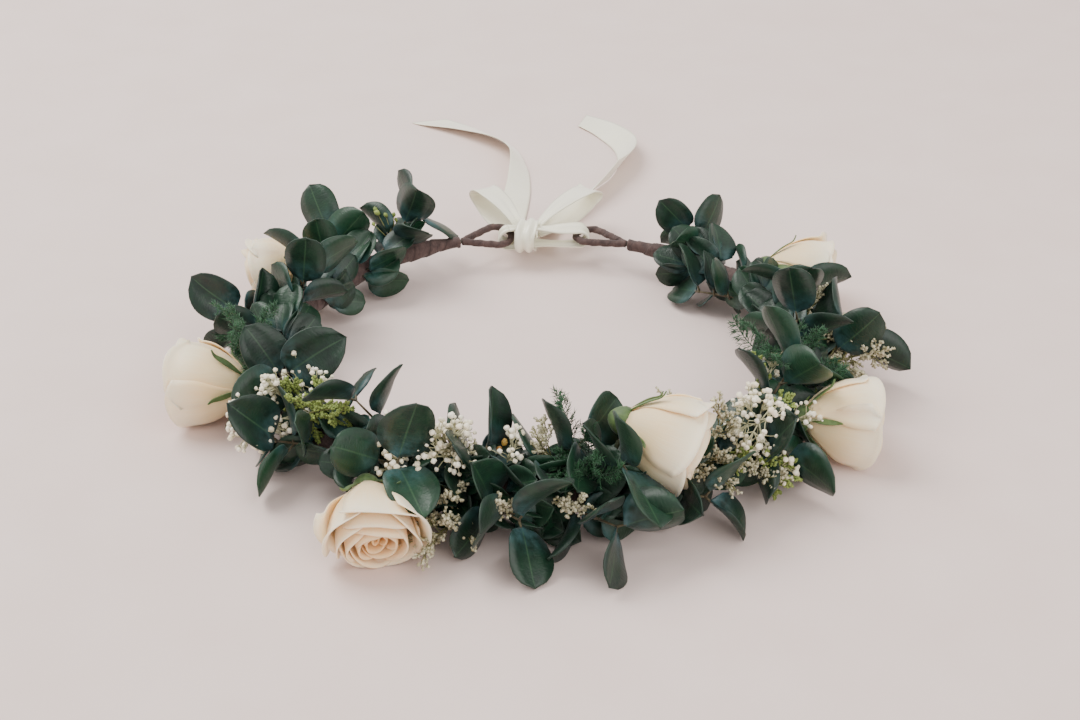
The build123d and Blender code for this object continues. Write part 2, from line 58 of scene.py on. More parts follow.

# %% [markdown]
# ## Shaping by formula
# A petal, a leaf or a length of ribbon is a flat sheet that has been bent. So each one starts as
# a grid, whose points are then moved by a formula for how far along and how far across they are.
# The grid keeps its own UV map, so a pattern can follow the piece however it is bent.


# %% Tools for single shapes
def add_grid(across, along):
    """A flat unit grid, to be shaped."""
    bpy.ops.object.select_all(action="DESELECT")
    bpy.ops.mesh.primitive_grid_add(x_subdivisions=across, y_subdivisions=along, size=1)
    return bpy.context.object


def points_of(piece):
    points = np.empty(len(piece.data.vertices) * 3)
    piece.data.vertices.foreach_get("co", points)
    return points.reshape(-1, 3)


def put_points(piece, points):
    piece.data.vertices.foreach_set("co", np.ascontiguousarray(points, dtype=float).ravel())
    piece.data.update()


def merge_points(piece, gap=1e-6):
    """Joins points that came to lie together, such as a seam or a pole."""
    bpy.context.view_layer.objects.active = piece
    bpy.ops.object.mode_set(mode="EDIT")
    bpy.ops.mesh.select_all(action="SELECT")
    bpy.ops.mesh.remove_doubles(threshold=gap)
    bpy.ops.mesh.normals_make_consistent(inside=False)
    bpy.ops.mesh.select_all(action="DESELECT")
    bpy.ops.object.mode_set(mode="OBJECT")


def apply_modifier(piece, kind, **settings):
    modifier = piece.modifiers.new(kind.lower(), kind)
    for key, value in settings.items():
        setattr(modifier, key, value)
    bpy.context.view_layer.objects.active = piece
    bpy.ops.object.modifier_apply(modifier=modifier.name)


def give_thickness(piece, thickness):
    apply_modifier(piece, "SOLIDIFY", thickness=thickness, offset=0.0)


# %% [markdown]
# ## One model, many copies
# The crown has hundreds of leaves, needles and beads. Each is modelled once as a blank, and the
# blank is taken apart into arrays, so that all the copies on a sprig can be laid out at once in a
# single mesh. Every copy carries a number of its own, `shade`, which its material reads, so that
# no two leaves have quite the same green.


# %% Tools for copies
def blank_of(piece):
    """A modelled shape as arrays: points, face corners, face sizes and UVs."""
    mesh = piece.data
    corners = np.empty(len(mesh.loops), int)
    mesh.loops.foreach_get("vertex_index", corners)
    sizes = np.empty(len(mesh.polygons), int)
    mesh.polygons.foreach_get("loop_total", sizes)
    uvs = np.empty(len(mesh.loops) * 2)
    mesh.uv_layers.active.data.foreach_get("uv", uvs)
    blank = points_of(piece), corners, sizes, uvs.reshape(-1, 2)
    bpy.data.objects.remove(piece)
    return blank


def unit(vector):
    vector = np.asarray(vector, float)
    return vector / max(np.linalg.norm(vector), 1e-12)


def unit_rows(vectors):
    return vectors / np.linalg.norm(vectors, axis=1)[:, None]


def round_z(turn):
    """The directions outward and ahead at an angle round the Z axis."""
    x, y = math.cos(turn), math.sin(turn)
    return np.array([x, y, 0]), np.array([-y, x, 0])


def placed(at, ahead, up, size, slim=1.0):
    """A place for a copy: its X runs ahead, its Z up, and slim makes it narrower than long."""
    ahead = unit(ahead)
    side = np.cross(up, ahead)
    side = unit(side) if np.linalg.norm(side) > 1e-6 else unit(np.cross([0.3, 0.5, 0.8], ahead))
    place = np.eye(4)
    place[:3, 0] = ahead * size
    place[:3, 1] = side * size * slim
    place[:3, 2] = np.cross(ahead, side) * size * slim
    place[:3, 3] = at
    return place


table_gap = 0.25 * mm


def lifted(points, blank_points):
    """Bends a copy up where it would sink into the table, most of all at its far end."""
    reach = np.linalg.norm(blank_points, axis=1)
    reach = np.maximum(reach / reach.max(), 0.15)
    sunk = (table_gap - points[:, 2]) / reach
    points[:, 2] += max(sunk.max(), 0) * reach
    return points


def lay_out(name, copies, materials, body="crown"):
    """One piece from a list of copies: (blank, place, shade, number of its material)."""
    points, corners, sizes, uvs, shades, slots = [], [], [], [], [], []
    first = 0
    for (blank_points, blank_corners, blank_sizes, blank_uvs), place, shade, slot in copies:
        points.append(lifted(blank_points @ place[:3, :3].T + place[:3, 3], blank_points))
        corners.append(blank_corners + first)
        sizes.append(blank_sizes)
        uvs.append(blank_uvs)
        shades.append(np.full(len(blank_points), shade))
        slots.append(np.full(len(blank_sizes), slot))
        first += len(blank_points)
    sizes = np.concatenate(sizes)
    mesh = bpy.data.meshes.new(name)
    mesh.vertices.add(first)
    mesh.vertices.foreach_set("co", np.concatenate(points).ravel())
    mesh.loops.add(sizes.sum())
    mesh.loops.foreach_set("vertex_index", np.concatenate(corners))
    mesh.polygons.add(len(sizes))
    mesh.polygons.foreach_set("loop_start", np.concatenate([[0], np.cumsum(sizes)[:-1]]))
    mesh.update(calc_edges=True)
    mesh.uv_layers.new(name="UVMap").data.foreach_set("uv", np.concatenate(uvs).ravel())
    mesh.attributes.new("shade", "FLOAT", "POINT").data.foreach_set("value", np.concatenate(shades))
    for material in materials:
        mesh.materials.append(material)
    mesh.polygons.foreach_set("material_index", np.concatenate(slots))
    mesh.shade_smooth()
    piece = bpy.data.objects.new(name, mesh)
    bpy.context.scene.collection.objects.link(piece)
    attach(piece, body)
    return piece


# %% [markdown]
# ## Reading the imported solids
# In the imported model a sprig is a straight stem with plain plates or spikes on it. Each separate
# solid is found by walking over its joined points. Its longest and shortest directions then tell
# where it starts, where it points and which way its face looks.


# %% Solids of a node
def solids_of(node):
    """The points of each separate solid of a node, in a fixed order."""
    form = bmesh.new()
    form.from_mesh(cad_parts[node].data)
    bmesh.ops.remove_doubles(form, verts=form.verts, dist=1e-6)
    seen, found = set(), []
    for start in form.verts:
        if start in seen:
            continue
        seen.add(start)
        reach, group = [start], []
        while reach:
            point = reach.pop()
            group.append(point.co[:])
            for edge in point.link_edges:
                other = edge.other_vert(point)
                if other not in seen:
                    seen.add(other)
                    reach.append(other)
        found.append(np.array(group))
    form.free()
    return found


def directions(points):
    """A solid's middle, its directions from the longest to the shortest, and its extents."""
    middle = points.mean(axis=0)
    ways = np.linalg.svd(points - middle, full_matrices=False)[2]
    return middle, ways, np.ptp((points - middle) @ ways.T, axis=0)


def box_of(node):
    """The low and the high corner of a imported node's box."""
    return [np.array(corner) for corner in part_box(node)]


def finish_packed(node, material):
    """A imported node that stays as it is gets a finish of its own."""
    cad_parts[node].data.materials.clear()
    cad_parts[node].data.materials.append(material)


hoop_low, hoop_high = box_of("hoop_wire")
hoop_height = (hoop_low[2] + hoop_high[2]) / 2
hoop_radius = (hoop_high[0] - hoop_low[0]) / 2 - (hoop_high[2] - hoop_low[2]) / 2


def hoop_point(at):
    """The point of the hoop wire's centre line that is nearest."""
    return hoop_radius * round_z(math.atan2(at[1], at[0]))[0] + hoop_height * UP


def sprig_layout(node):
    """Root and tip of a sprig's stem, and (foot, tip, face) of every solid that grows on it."""
    solids = solids_of(node)
    slim = [np.sort(directions(points)[2])[1] for points in solids]
    stem = solids.pop(int(np.argmin(slim)))
    middle, ways, _ = directions(stem)
    along = (stem - middle) @ ways[0]
    ends = [
        stem[along > along.max() - 0.4 * mm].mean(axis=0),
        stem[along < along.min() + 2 * mm].mean(axis=0),
    ]
    ends.sort(key=lambda end: np.linalg.norm(end - hoop_point(end)))
    root, tip = ends
    grown = []
    for points in solids:
        off_stem = np.linalg.norm(np.cross(points - root, unit(tip - root)), axis=1)
        foot = points[np.argsort(off_stem, kind="stable")[:4]].mean(axis=0)
        end = points[np.argmax(np.linalg.norm(points - foot, axis=1))]
        face = directions(points)[1][2]
        grown.append((foot, end, face if face[2] >= 0 else -face))
    return root, tip, grown


print("hoop radius", round(hoop_radius, 4), "height", round(hoop_height, 4))

# %% [markdown]
# ## Finishes
# Plants that have been preserved keep their colours but never evenly: there are flecks, paler
# edges, and each leaf differs from the next. Two node groups do this for every finish. `dried tone`
# mixes two colours by a cloudy noise and by the piece's own shade. `fine ribs` gives the height of
# fine parallel lines, which are veins on a petal, wrinkles on crepe tape and weft on satin.


# %% Node groups
def colour(red, green, blue):
    """A screen colour from 0 to 255 as the linear colour that nodes use."""
    shares = [c / 255 for c in (red, green, blue)]
    return (*(c / 12.92 if c <= 0.04 else ((c + 0.055) / 1.055) ** 2.4 for c in shares), 1)


def new_group(name, takes, gives):
    group = bpy.data.node_groups.new(name, "ShaderNodeTree")
    for label, kind, value in takes:
        socket = group.interface.new_socket(label, in_out="INPUT", socket_type="NodeSocket" + kind)
        socket.default_value = value
    for label, kind in gives:
        group.interface.new_socket(label, in_out="OUTPUT", socket_type="NodeSocket" + kind)
    return group, group.nodes.new("NodeGroupInput"), group.nodes.new("NodeGroupOutput")


def add_node(tree, kind, inputs=None, **settings):
    """A node with its settings, and each input either a value or a socket to link from."""
    node = tree.nodes.new("ShaderNode" + kind)
    for key, value in settings.items():
        setattr(node, key, value)
    for key, value in (inputs or {}).items():
        if isinstance(value, bpy.types.NodeSocket):
            tree.links.new(value, node.inputs[key])
        else:
            node.inputs[key].default_value = value
    return node


def sums(tree, operation, *values, **settings):
    """The result of one step of arithmetic on sockets or numbers."""
    settings["operation"] = operation
    return add_node(tree, "Math", dict(enumerate(values)), **settings).outputs[0]


def mix_colour(tree, share, first, second):
    node = add_node(tree, "Mix", data_type="RGBA")
    for index, value in ((0, share), (6, first), (7, second)):
        if isinstance(value, bpy.types.NodeSocket):
            tree.links.new(value, node.inputs[index])
        else:
            node.inputs[index].default_value = value
    return node.outputs[2]


tone_group, takes, gives = new_group(
    "dried tone",
    [("Deep", "Color", (0, 0, 0, 1)), ("Pale", "Color", (1, 1, 1, 1)), ("Scale", "Float", 200.0)],
    [("Color", "Color"), ("Cloud", "Float")],
)
place = add_node(tone_group, "TexCoord").outputs["Object"]
cloud = add_node(
    tone_group, "TexNoise", {"Vector": place, "Scale": takes.outputs["Scale"], "Detail": 3.0}
).outputs["Fac"]
shade = add_node(tone_group, "Attribute", attribute_name="shade").outputs["Fac"]
spread = add_node(
    tone_group, "MapRange", {"Value": cloud, "From Min": 0.3, "From Max": 0.7}
).outputs["Result"]
share = sums(tone_group, "MULTIPLY", spread, 0.45)
share = sums(tone_group, "MULTIPLY_ADD", shade, 0.6, share, use_clamp=True)
tone = mix_colour(tone_group, share, takes.outputs["Deep"], takes.outputs["Pale"])
tone_group.links.new(tone, gives.inputs["Color"])
tone_group.links.new(spread, gives.inputs["Cloud"])

ribs_group, takes, gives = new_group(
    "fine ribs",
    [("Across", "Float", 100.0), ("Along", "Float", 4.0), ("Fray", "Float", 0.3)],
    [("Height", "Float")],
)
sheet_place = add_node(ribs_group, "SeparateXYZ", {0: add_node(ribs_group, "UVMap").outputs["UV"]})
across = sums(ribs_group, "MULTIPLY", sheet_place.outputs[0], takes.outputs["Across"])
along = sums(ribs_group, "MULTIPLY", sheet_place.outputs[1], takes.outputs["Along"])
stretched = add_node(ribs_group, "CombineXYZ", {0: across, 1: along}).outputs[0]
ribs = add_node(
    ribs_group,
    "TexNoise",
    {"Vector": stretched, "Scale": 1.0, "Detail": 2.0, "Distortion": takes.outputs["Fray"]},
)
ribs_group.links.new(ribs.outputs["Fac"], gives.inputs["Height"])
print("node groups:", [group.name for group in bpy.data.node_groups])


# %% Tools for materials
def new_material(name, sockets):
    material = bpy.data.materials.new(name)
    material.use_nodes = True
    surface = material.node_tree.nodes["Principled BSDF"]
    for key, value in sockets.items():
        surface.inputs[key].default_value = value
    return material, material.node_tree, surface


def dried_tone(tree, deep, pale, scale):
    node = add_node(tree, "Group", node_tree=tone_group)
    node.inputs["Deep"].default_value, node.inputs["Pale"].default_value = deep, pale
    node.inputs["Scale"].default_value = scale
    return node


def fine_ribs(tree, across, along, fray=0.3):
    node = add_node(tree, "Group", node_tree=ribs_group)
    node.inputs["Across"].default_value, node.inputs["Along"].default_value = across, along
    node.inputs["Fray"].default_value = fray
    return node.outputs["Height"]


def bump(tree, surface, height, strength, distance):
    node = add_node(tree, "Bump", {"Height": height, "Strength": strength, "Distance": distance})
    tree.links.new(node.outputs["Normal"], surface.inputs["Normal"])


def uv_part(tree, index):
    return add_node(tree, "SeparateXYZ", {0: add_node(tree, "UVMap").outputs["UV"]}).outputs[index]


def mapped(tree, value, from_min, from_max, to_min=0.0, to_max=1.0):
    """A value taken smoothly from one range to another."""
    limits = {"From Min": from_min, "From Max": from_max, "To Min": to_min, "To Max": to_max}
    node = add_node(tree, "MapRange", {"Value": value, **limits}, interpolation_type="SMOOTHSTEP")
    return node.outputs["Result"]


# %% [markdown]
# A eucalyptus leaf is dark and leathery, with a pale midrib, and a blue-grey bloom of wax that is
# thickest near its foot. The bloom is a mask made from the UV map, which runs from foot to tip,
# broken up by the cloud of the tone group. A rose petal is the other way round: warm peach deep in
# the flower and cream at the lip, so its colour runs along the petal and with the petal's shade,
# which is 1 in the heart of the rose and 0 outside.


# %% Leaves and petals
leaf_look, tree, surface = new_material(
    "eucalyptus leaf", {"Roughness": 0.40, "Specular IOR Level": 0.45, "Sheen Weight": 0.05}
)
green = dried_tone(tree, colour(4, 28, 20), colour(22, 62, 38), 260.0)
foot = mapped(tree, uv_part(tree, 0), 0.55, 0.0)
bloom = sums(tree, "MULTIPLY", sums(tree, "MULTIPLY", foot, green.outputs["Cloud"]), 0.34)
waxy = mix_colour(tree, bloom, green.outputs["Color"], colour(92, 134, 150))
off_middle = sums(tree, "ABSOLUTE", sums(tree, "SUBTRACT", uv_part(tree, 1), 0.5))
midrib = mapped(tree, off_middle, 0.03, 0.0, 0.0, 0.4)
tree.links.new(mix_colour(tree, midrib, waxy, colour(70, 104, 72)), surface.inputs["Base Color"])
bump(tree, surface, fine_ribs(tree, 26.0, 9.0, 0.8), 0.35, 0.0004)

petal_look, tree, surface = new_material(
    "rose petal",
    {"Roughness": 0.52, "Sheen Weight": 0.2, "Subsurface Weight": 0.3, "Subsurface Scale": 0.004},
)
surface.inputs["Subsurface Radius"].default_value = (1.0, 0.55, 0.35)
depth = mapped(tree, uv_part(tree, 1), 0.95, 0.35)
heart = add_node(tree, "Attribute", attribute_name="shade").outputs["Fac"]
warm = mix_colour(tree, heart, colour(255, 236, 204), colour(255, 198, 132))
deep = mix_colour(tree, heart, colour(255, 216, 164), colour(242, 140, 48))
ribs = fine_ribs(tree, 60.0, 2.5, 0.4)
petal = mix_colour(tree, depth, warm, deep)
veined = mix_colour(tree, mapped(tree, ribs, 0.45, 0.75, 0.0, 0.16), petal, colour(255, 248, 230))
tree.links.new(veined, surface.inputs["Base Color"])
bump(tree, surface, ribs, 0.25, 0.0003)
print("materials:", leaf_look.name, "and", petal_look.name)

# %% [markdown]
# The stem tape is crepe paper with wax in it, wound in a long spiral. Its wrinkles run across the
# winding, and along each overlap a darker line is painted shade, the shadow of the little step
# there; both follow the tape's own UV map: U runs once round and V along it in metres. The satin
# is woven of very fine shiny weft with a firm selvage on each edge, so its highlight is broad
# along the ribbon and its edges look a little denser.


# %% Tape, ribbon and small finishes
tape_turn = 7.5 * mm  # along the tape for one turn of its spiral
ribbon_width = 12 * mm
tape_look, tree, surface = new_material("floral tape", {"Roughness": 0.82, "Sheen Weight": 0.1})
paper = dried_tone(tree, colour(58, 42, 40), colour(112, 88, 82), 420.0)
turns = sums(tree, "MULTIPLY", uv_part(tree, 1), 1 / tape_turn)
turns = sums(tree, "FRACT", sums(tree, "ADD", turns, uv_part(tree, 0)))
# painted shade: a darker line along the step of each overlap, where the upper turn shades the one
# below
edge = mapped(tree, turns, 0.12, 0.0, 0.0, 0.55)
edged = mix_colour(tree, edge, paper.outputs["Color"], colour(38, 28, 27))
tree.links.new(edged, surface.inputs["Base Color"])
bump(tree, surface, fine_ribs(tree, 9.0, 1800.0, 0.6), 0.7, 0.0005)

satin_look, tree, surface = new_material(
    "satin ribbon",
    {"Roughness": 0.24, "Specular IOR Level": 0.75, "Anisotropic": 0.6, "Sheen Weight": 0.3},
)
cloth = dried_tone(tree, colour(244, 241, 218), colour(254, 252, 238), 60.0)
off_middle = sums(tree, "ABSOLUTE", sums(tree, "SUBTRACT", uv_part(tree, 0), ribbon_width / 2))
selvage = mapped(tree, off_middle, 0.0052, 0.0055, 0.0, 0.35)
weft = fine_ribs(tree, 120.0, 9000.0, 0.1)
thread = mapped(tree, weft, 0.3, 0.7, 0.0, 0.12)
thread = mix_colour(tree, thread, cloth.outputs["Color"], colour(214, 208, 178))
edged = mix_colour(tree, selvage, thread, colour(226, 222, 196))
tree.links.new(edged, surface.inputs["Base Color"])
bump(tree, surface, weft, 0.12, 0.0001)


def plant_material(name, deep, pale, scale, roughness, sheen=0.1, strength=0.4):
    """A dry plant part: two tones, and a grain of the same scale."""
    material, tree, surface = new_material(name, {"Roughness": roughness, "Sheen Weight": sheen})
    tone = dried_tone(tree, colour(*deep), colour(*pale), scale)
    tree.links.new(tone.outputs["Color"], surface.inputs["Base Color"])
    bump(tree, surface, tone.outputs["Cloud"], strength, 0.3 * mm)
    return material


twig_look = plant_material("woody stem", (46, 34, 28), (92, 84, 54), 700.0, 0.65)
sepal_look = plant_material("rose sepal", (38, 66, 34), (96, 120, 62), 500.0, 0.6)
blossom_look = plant_material("gypsophila blossom", (238, 226, 190), (255, 250, 235), 1400.0, 0.7)
stalk_look = plant_material("pale stalk", (160, 158, 112), (214, 210, 176), 900.0, 0.65)
fern_look = plant_material("fern needle", (10, 56, 34), (44, 104, 58), 600.0, 0.5)
statice_look = plant_material("statice calyx", (142, 136, 96), (224, 218, 190), 1100.0, 0.7)
olive_look = plant_material("olive stalk", (82, 84, 46), (136, 134, 78), 900.0, 0.65)
seed_look = plant_material("seed head", (86, 106, 40), (156, 172, 88), 1200.0, 0.65)
bud_look = plant_material("wax flower bud", (206, 130, 84), (240, 206, 92), 1500.0, 0.45)
wire_look = plant_material("wrapped wire", (44, 52, 36), (82, 88, 58), 900.0, 0.6, 0.0, 0.5)
print("materials:", len(bpy.data.materials))

# %% [markdown]
# ## Blanks for leaves, twigs and beads
# These few shapes make nearly everything green. A leaf is a grid drawn in to an oval, cupped and
# bent back at its tip. A twig is a five-sided bar that thins towards its end: at this size a
# round one would only cost faces. A bead, a seed and a small calyx start as a sphere or a cone of
# a few dozen faces, pushed out of round.

# %% Leaf blanks
leaf_width = 0.8  # of its length
leaf_thick = 0.022
leaf_points = (12, 4)  # faces along it and across it


def leaf_blank(cup, droop, twist):
    """A leaf of unit length along X. Cup lifts its edges, droop bends its tip down."""
    leaf = add_grid(*leaf_points)
    flat = points_of(leaf)
    along, across = flat[:, 0] + 0.5, flat[:, 1] * 2
    half = leaf_width / 2 * np.clip(1 - np.abs(2 * along**0.9 - 1) ** 2.4, 0, 1) ** 0.58
    lift = cup * across**2 * half - droop * along**2 + 0.03 * np.abs(across) ** 0.5 * half
    lift += 0.014 * np.sin(9 * along + 2 * across) * np.abs(across)
    turn = twist * (along - 0.3)
    side = across * half
    level = side * np.cos(turn) - lift * np.sin(turn)
    rise = side * np.sin(turn) + lift * np.cos(turn)
    put_points(leaf, np.stack([along, level, rise], axis=1))
    merge_points(leaf, 1e-4)
    give_thickness(leaf, leaf_thick)
    return blank_of(leaf)


leaf_blanks = [
    leaf_blank(0.30, 0.10, 0.3),
    leaf_blank(0.45, 0.20, -0.4),
    leaf_blank(0.15, 0.04, 0.5),
    leaf_blank(0.60, 0.14, -0.2),
    leaf_blank(-0.20, 0.16, 0.2),
]
print("leaf blanks:", len(leaf_blanks), "faces each:", len(leaf_blanks[0][2]))


# %% Small blanks
def shaped(piece, change):
    """Moves every point of a primitive by a formula, and takes it apart."""
    put_points(piece, change(points_of(piece)))
    return blank_of(piece)


bpy.ops.mesh.primitive_cylinder_add(vertices=5, radius=1, depth=1, location=(0, 0, 0.5))
bpy.ops.object.transform_apply(location=True)


def thin_out(points):
    """Along X instead of Z, and thinner at the far end."""
    taper = 1 - 0.35 * points[:, 2]
    return np.stack([points[:, 2], points[:, 0] * taper, points[:, 1] * taper], axis=1)


twig_blank = shaped(bpy.context.object, thin_out)

bpy.ops.mesh.primitive_uv_sphere_add(segments=7, ring_count=5, radius=1)
bead_blank = shaped(
    bpy.context.object, lambda at: at * (1 + 0.16 * np.sin(at @ np.array([[5.0], [7.0], [4.0]])))
)

bpy.ops.mesh.primitive_ico_sphere_add(subdivisions=1, radius=1)
seed_blank = shaped(bpy.context.object, lambda at: at * np.array([1.35, 0.9, 0.9]))

bpy.ops.mesh.primitive_cone_add(vertices=5, radius1=1, radius2=0.15, depth=1, location=(0, 0, 0.5))
bpy.ops.object.transform_apply(location=True)
calyx_blank = shaped(
    bpy.context.object,
    lambda at: np.stack([1 - at[:, 2], at[:, 1] * 0.42, at[:, 0] * 0.42], axis=1),
)

bpy.ops.mesh.primitive_cone_add(vertices=3, radius1=1, radius2=0, depth=1, location=(0, 0, 0.5))
bpy.ops.object.transform_apply(location=True)
needle_blank = shaped(bpy.context.object, lambda at: at[:, [2, 0, 1]])
small_blanks = twig_blank, bead_blank, seed_blank, calyx_blank, needle_blank
print("faces of twig, bead, seed, calyx, needle:", [len(blank[2]) for blank in small_blanks])


# %% Placing twigs and leaves
def twig(copies, start, end, thickness, slot, shade=0.5):
    """A thin straight twig between two points."""
    way = np.asarray(end) - np.asarray(start)
    length = np.linalg.norm(way)
    place = placed(start, way, UP if abs(unit(way)[2]) < 0.95 else np.array([1.0, 0, 0]), length)
    place[:3, 1] *= thickness / length
    place[:3, 2] *= thickness / length
    copies.append((twig_blank, place, shade, slot))


def bent_twig(copies, start, end, sag, thickness, slot, draw, parts=4):
    """A twig in short lengths that bows to one side, so that it isn't ruler straight."""
    start, end = np.asarray(start), np.asarray(end)
    side = unit(np.cross(end - start, draw.normal(size=3)))
    shares = np.linspace(0, 1, parts + 1)
    line = [start + (end - start) * s + side * sag * math.sin(math.pi * s) for s in shares]
    for k in range(parts):
        reach = unit(line[k + 1] - line[k]) * thickness * 0.4
        twig(copies, line[k], line[k + 1] + reach, thickness * (1 - 0.12 * k), slot, 0.3 + 0.1 * k)
    return line


def near_way(way, spread, draw):
    """A direction that leans away from the one given by about this angle in degrees."""
    side = unit(np.cross(way, draw.normal(size=3)))
    lean = math.radians(spread)
    return unit(unit(way) * math.cos(lean) + side * math.sin(lean))


# %% [markdown]
# ## Eucalyptus
# Each sprig is a woody stem with round leaves in pairs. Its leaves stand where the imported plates
# are, a little larger and bent, and a few young leaves lie along the tape by the sprig's root, as
# a florist tucks them in to hide the binding. All of a sprig rides on the crown as one piece.

# %% Eucalyptus sprigs
petiole = 2.6 * mm
leaf_grow = 1.2  # the real blade is a little longer than its packed plate
young_leaves = 12


def young_leaf(copies, root, tip, draw, k):
    """A small leaf that lies along the tape by a sprig's root."""
    out, ahead = round_z(math.atan2(root[1], root[0]) + math.radians(draw.uniform(-8, 9)))
    forward = ahead if np.dot(tip - root, ahead) > 0 else -ahead
    roll = math.radians(-30 + 230 * k / young_leaves + draw.uniform(-14, 14))
    ray = out * math.cos(roll) + UP * math.sin(roll)
    at = out * hoop_radius + UP * hoop_height + ray * draw.uniform(4.6, 6.0) * mm
    way = unit(forward * draw.uniform(0.6, 1.0) + ray * draw.uniform(0.35, 1.0) + out * 0.15)
    size = draw.uniform(12, 17.5) * mm
    if at[2] + way[2] * size < 3 * mm:
        way = unit(way * np.array([1, 1, 0.1]))
    face = unit(ray + draw.normal(size=3) * 0.3)
    twig(copies, at - ray * 2 * mm, at + way * 1 * mm, 0.45 * mm, 1, 0.4)
    blank = leaf_blanks[draw.integers(len(leaf_blanks))]
    copies.append((blank, placed(at, way, face, size), draw.uniform(0.0, 0.8), 0))


def make_eucalyptus(node, number):
    draw = np.random.default_rng(100 + number)
    root, tip, leaves = sprig_layout(node)
    copies = []
    bent_twig(copies, hoop_point(root) * 0.4 + root * 0.6, tip, 0.6 * mm, 0.75 * mm, 1, draw)
    for foot, end, face in leaves:
        way = unit(end - foot)
        size = (np.linalg.norm(end - foot) - petiole) * leaf_grow * draw.uniform(0.94, 1.08)
        start = foot + way * petiole
        face = unit(face + draw.normal(size=3) * 0.22)
        lean = unit(way + draw.normal(size=3) * 0.07)
        twig(copies, foot, start + lean * 0.8 * mm, 0.5 * mm, 1, 0.6)
        blank = leaf_blanks[draw.integers(len(leaf_blanks))]
        copies.append((blank, placed(start, lean, face, size), draw.uniform(0.0, 1.0) ** 2, 0))
    for k in range(young_leaves):
        young_leaf(copies, root, tip, draw, k)
    piece = lay_out(node + "_sprig", copies, [leaf_look, twig_look])
    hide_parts(node)
    return len(leaves)


sprigs = sorted(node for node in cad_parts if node.startswith("eucalyptus_"))
leaves = sum(make_eucalyptus(node, k) for k, node in enumerate(sprigs))
print("sprigs:", len(sprigs), "leaves:", leaves)

# %% [markdown]
# ## Roses
# A rose is a spiral of petals round a closed heart. Every petal here is the same grid bent by one
# formula: it wraps round the axis, swells at its belly, closes or opens at its rim, and rolls its
# lip outward. The table gives one line for each ring of petals from the heart out. One edge of
# each petal is tucked inside its neighbour, which is what gives a rose its spiral.

# %% Petals
petal_faces = (14, 11)  # across it and along it
petal_paper = 0.45 * mm

# Each ring of petals: how many, how wide in degrees, the radius at foot, belly and rim, the
# height of the lip, and how far the lip rolls out. Millimetres.
petal_rings = [
    (3, 230, 0.6, 2.6, 1.1, 20.5, 0.0),
    (3, 195, 1.2, 4.4, 2.9, 22.2, 0.2),
    (4, 155, 1.9, 6.5, 5.0, 23.8, 0.4),
    (4, 132, 2.5, 8.7, 7.4, 25.2, 0.8),
    (5, 114, 3.1, 11.0, 10.0, 25.8, 1.5),
    (5, 106, 3.7, 13.0, 12.6, 24.4, 2.6),
]


def petal_shape(flat, turn, wide, foot, belly, rim, top, curl, wave):
    """Bends a unit grid into one petal, standing round the Z axis with its foot at z = 0."""
    across, along = flat[:, 0] * 2, flat[:, 1] + 0.5
    middle = 2 * belly - (foot + rim) / 2
    radius = foot * (1 - along) ** 2 + 2 * middle * along * (1 - along) + rim * along**2
    lip = np.clip((along - 0.74) / 0.26, 0, 1) ** 2
    height = top * along * (1 - 0.17 * np.abs(across) ** 2.6 * along)
    height -= curl * 0.75 * lip
    radius = radius + curl * lip * (1.15 - 0.35 * across**2) + 0.75 * across * (0.25 + 0.75 * along)
    radius += wave * np.sin(4.1 * across + 0.13 * turn) * along**2
    spread = 0.52 + 0.48 * np.sin(math.pi / 2 * np.clip(along * 1.7, 0, 1))
    angle = np.radians(turn + wide / 2 * across * spread)
    return np.stack([radius * np.cos(angle), radius * np.sin(angle), height], axis=1) * mm


petal_grid = blank_of(add_grid(*petal_faces))


def petal_copy(turn, heart, sizes, wave):
    points = petal_shape(petal_grid[0], turn, *sizes, wave)
    return (points, *petal_grid[1:]), heart


def rose_petals(draw, openness):
    """All the petals of one rose, each with its shade: 1 in the heart and 0 outside."""
    found, turn = [], draw.uniform(0, 360)
    for ring, (count, wide, foot, belly, rim, top, curl) in enumerate(petal_rings):
        heart = 1 - ring / (len(petal_rings) - 1)
        for k in range(count):
            this_turn = turn + 360 / count * k + draw.uniform(-7, 7)
            open_rim = rim * (1 + openness * ring / 5 * draw.uniform(0.6, 1.1))
            this_top, this_curl = top + draw.uniform(-0.6, 0.6), curl * draw.uniform(0.6, 1.3)
            sizes = (wide, foot, belly, open_rim, this_top, this_curl)
            shade = heart * draw.uniform(0.85, 1.0)
            found.append(petal_copy(this_turn, shade, sizes, 0.2 + 0.1 * ring))
        turn += 137.5
    return found


# %% [markdown]
# Under the petals sits the calyx: a green cup with five narrow sepals. The sepals use the petal
# formula again, narrow and just outside the outermost petals, and the cup is a sphere drawn out
# into an egg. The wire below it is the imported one, which only needs its finish.


# %% Roses in place
def head_place(petals, calyx):
    """The frame of a rose: its origin at the petals' foot and its Z along the flower."""
    middle = sum(box_of(petals)) / 2
    points = points_of(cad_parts[petals])
    under = points_of(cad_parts[calyx])
    low = (under.min(axis=0) + under.max(axis=0)) / 2
    axis = unit(middle - low)
    for _ in range(6):
        rise = (points - middle) @ axis
        ends = [
            points[rise > rise.max() - 1.5 * mm].mean(axis=0),
            points[rise < rise.min() + 1.5 * mm].mean(axis=0),
        ]
        axis = unit(ends[0] - ends[1])
    foot = ends[1] + axis * (((points - ends[1]) @ axis).min())
    side = unit(np.cross(UP, axis))
    place = np.eye(4)
    place[:3, 0], place[:3, 1], place[:3, 2], place[:3, 3] = side, np.cross(axis, side), axis, foot
    return place


# Each rose: how open it is, its size, and how far it is turned on its own stem.
rose_looks = {
    "rose_back_left": (0.02, 0.98, 40),
    "rose_left": (0.10, 1.06, 10),
    "rose_front_left": (0.22, 1.04, 200),
    "rose_front_right": (0.06, 1.10, 90),
    "rose_right": (0.12, 1.02, 300),
    "rose_back_right": (0.10, 1.02, 150),
}
sepal_sizes = (15, 3.9, 9.8, 13.4, 9.0, 1.6)  # as a ring of petals


